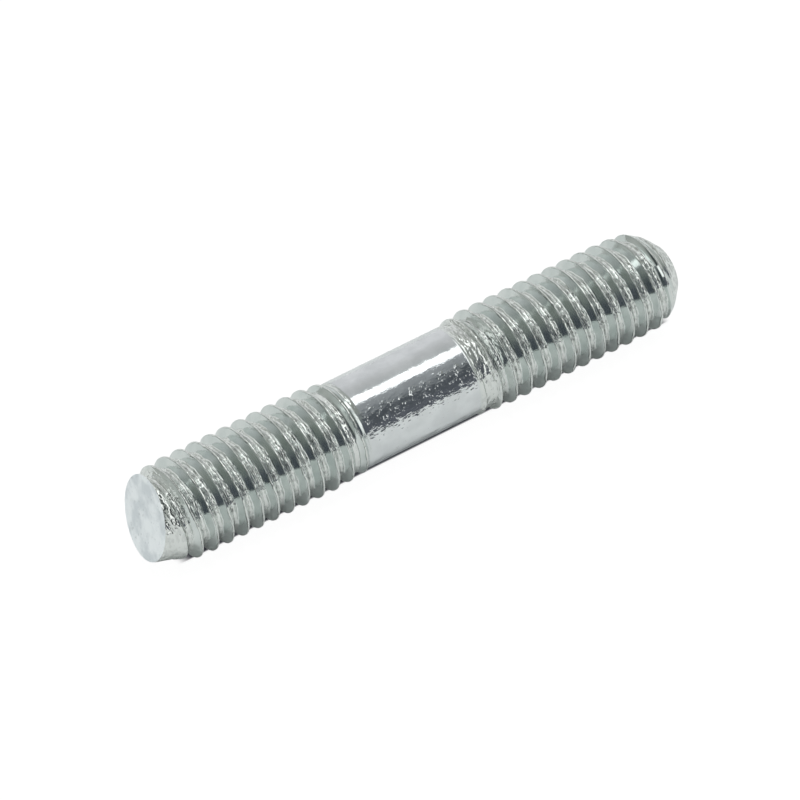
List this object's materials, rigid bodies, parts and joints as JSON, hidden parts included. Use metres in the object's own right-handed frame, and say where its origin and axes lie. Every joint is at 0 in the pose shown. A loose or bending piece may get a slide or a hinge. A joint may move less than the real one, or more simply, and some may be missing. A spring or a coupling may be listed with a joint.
{
  "type": "double ended stud",
  "caption": "Zinc plated steel stud, a plain round rod with a right-hand metric thread rolled at each end and a thinner plain shank between them.",
  "frame": {"origin": "middle of the square-cut end face, which the stud stands on", "axes": "+Z along the stud's axis, up towards the slanted end; the crest of both threads crosses the +X side half a pitch above the origin and every pitch above that"},
  "size_m": [0.006, 0.006, 0.0356],
  "materials": {
    "zinc_plate": "bright blue-white zinc plating on steel, half gloss, finely mottled in the thread's roots and on the shank"
  },
  "bodies": {
    "root": {"stud": "zinc_plate"}
  },
  "joints": []
}
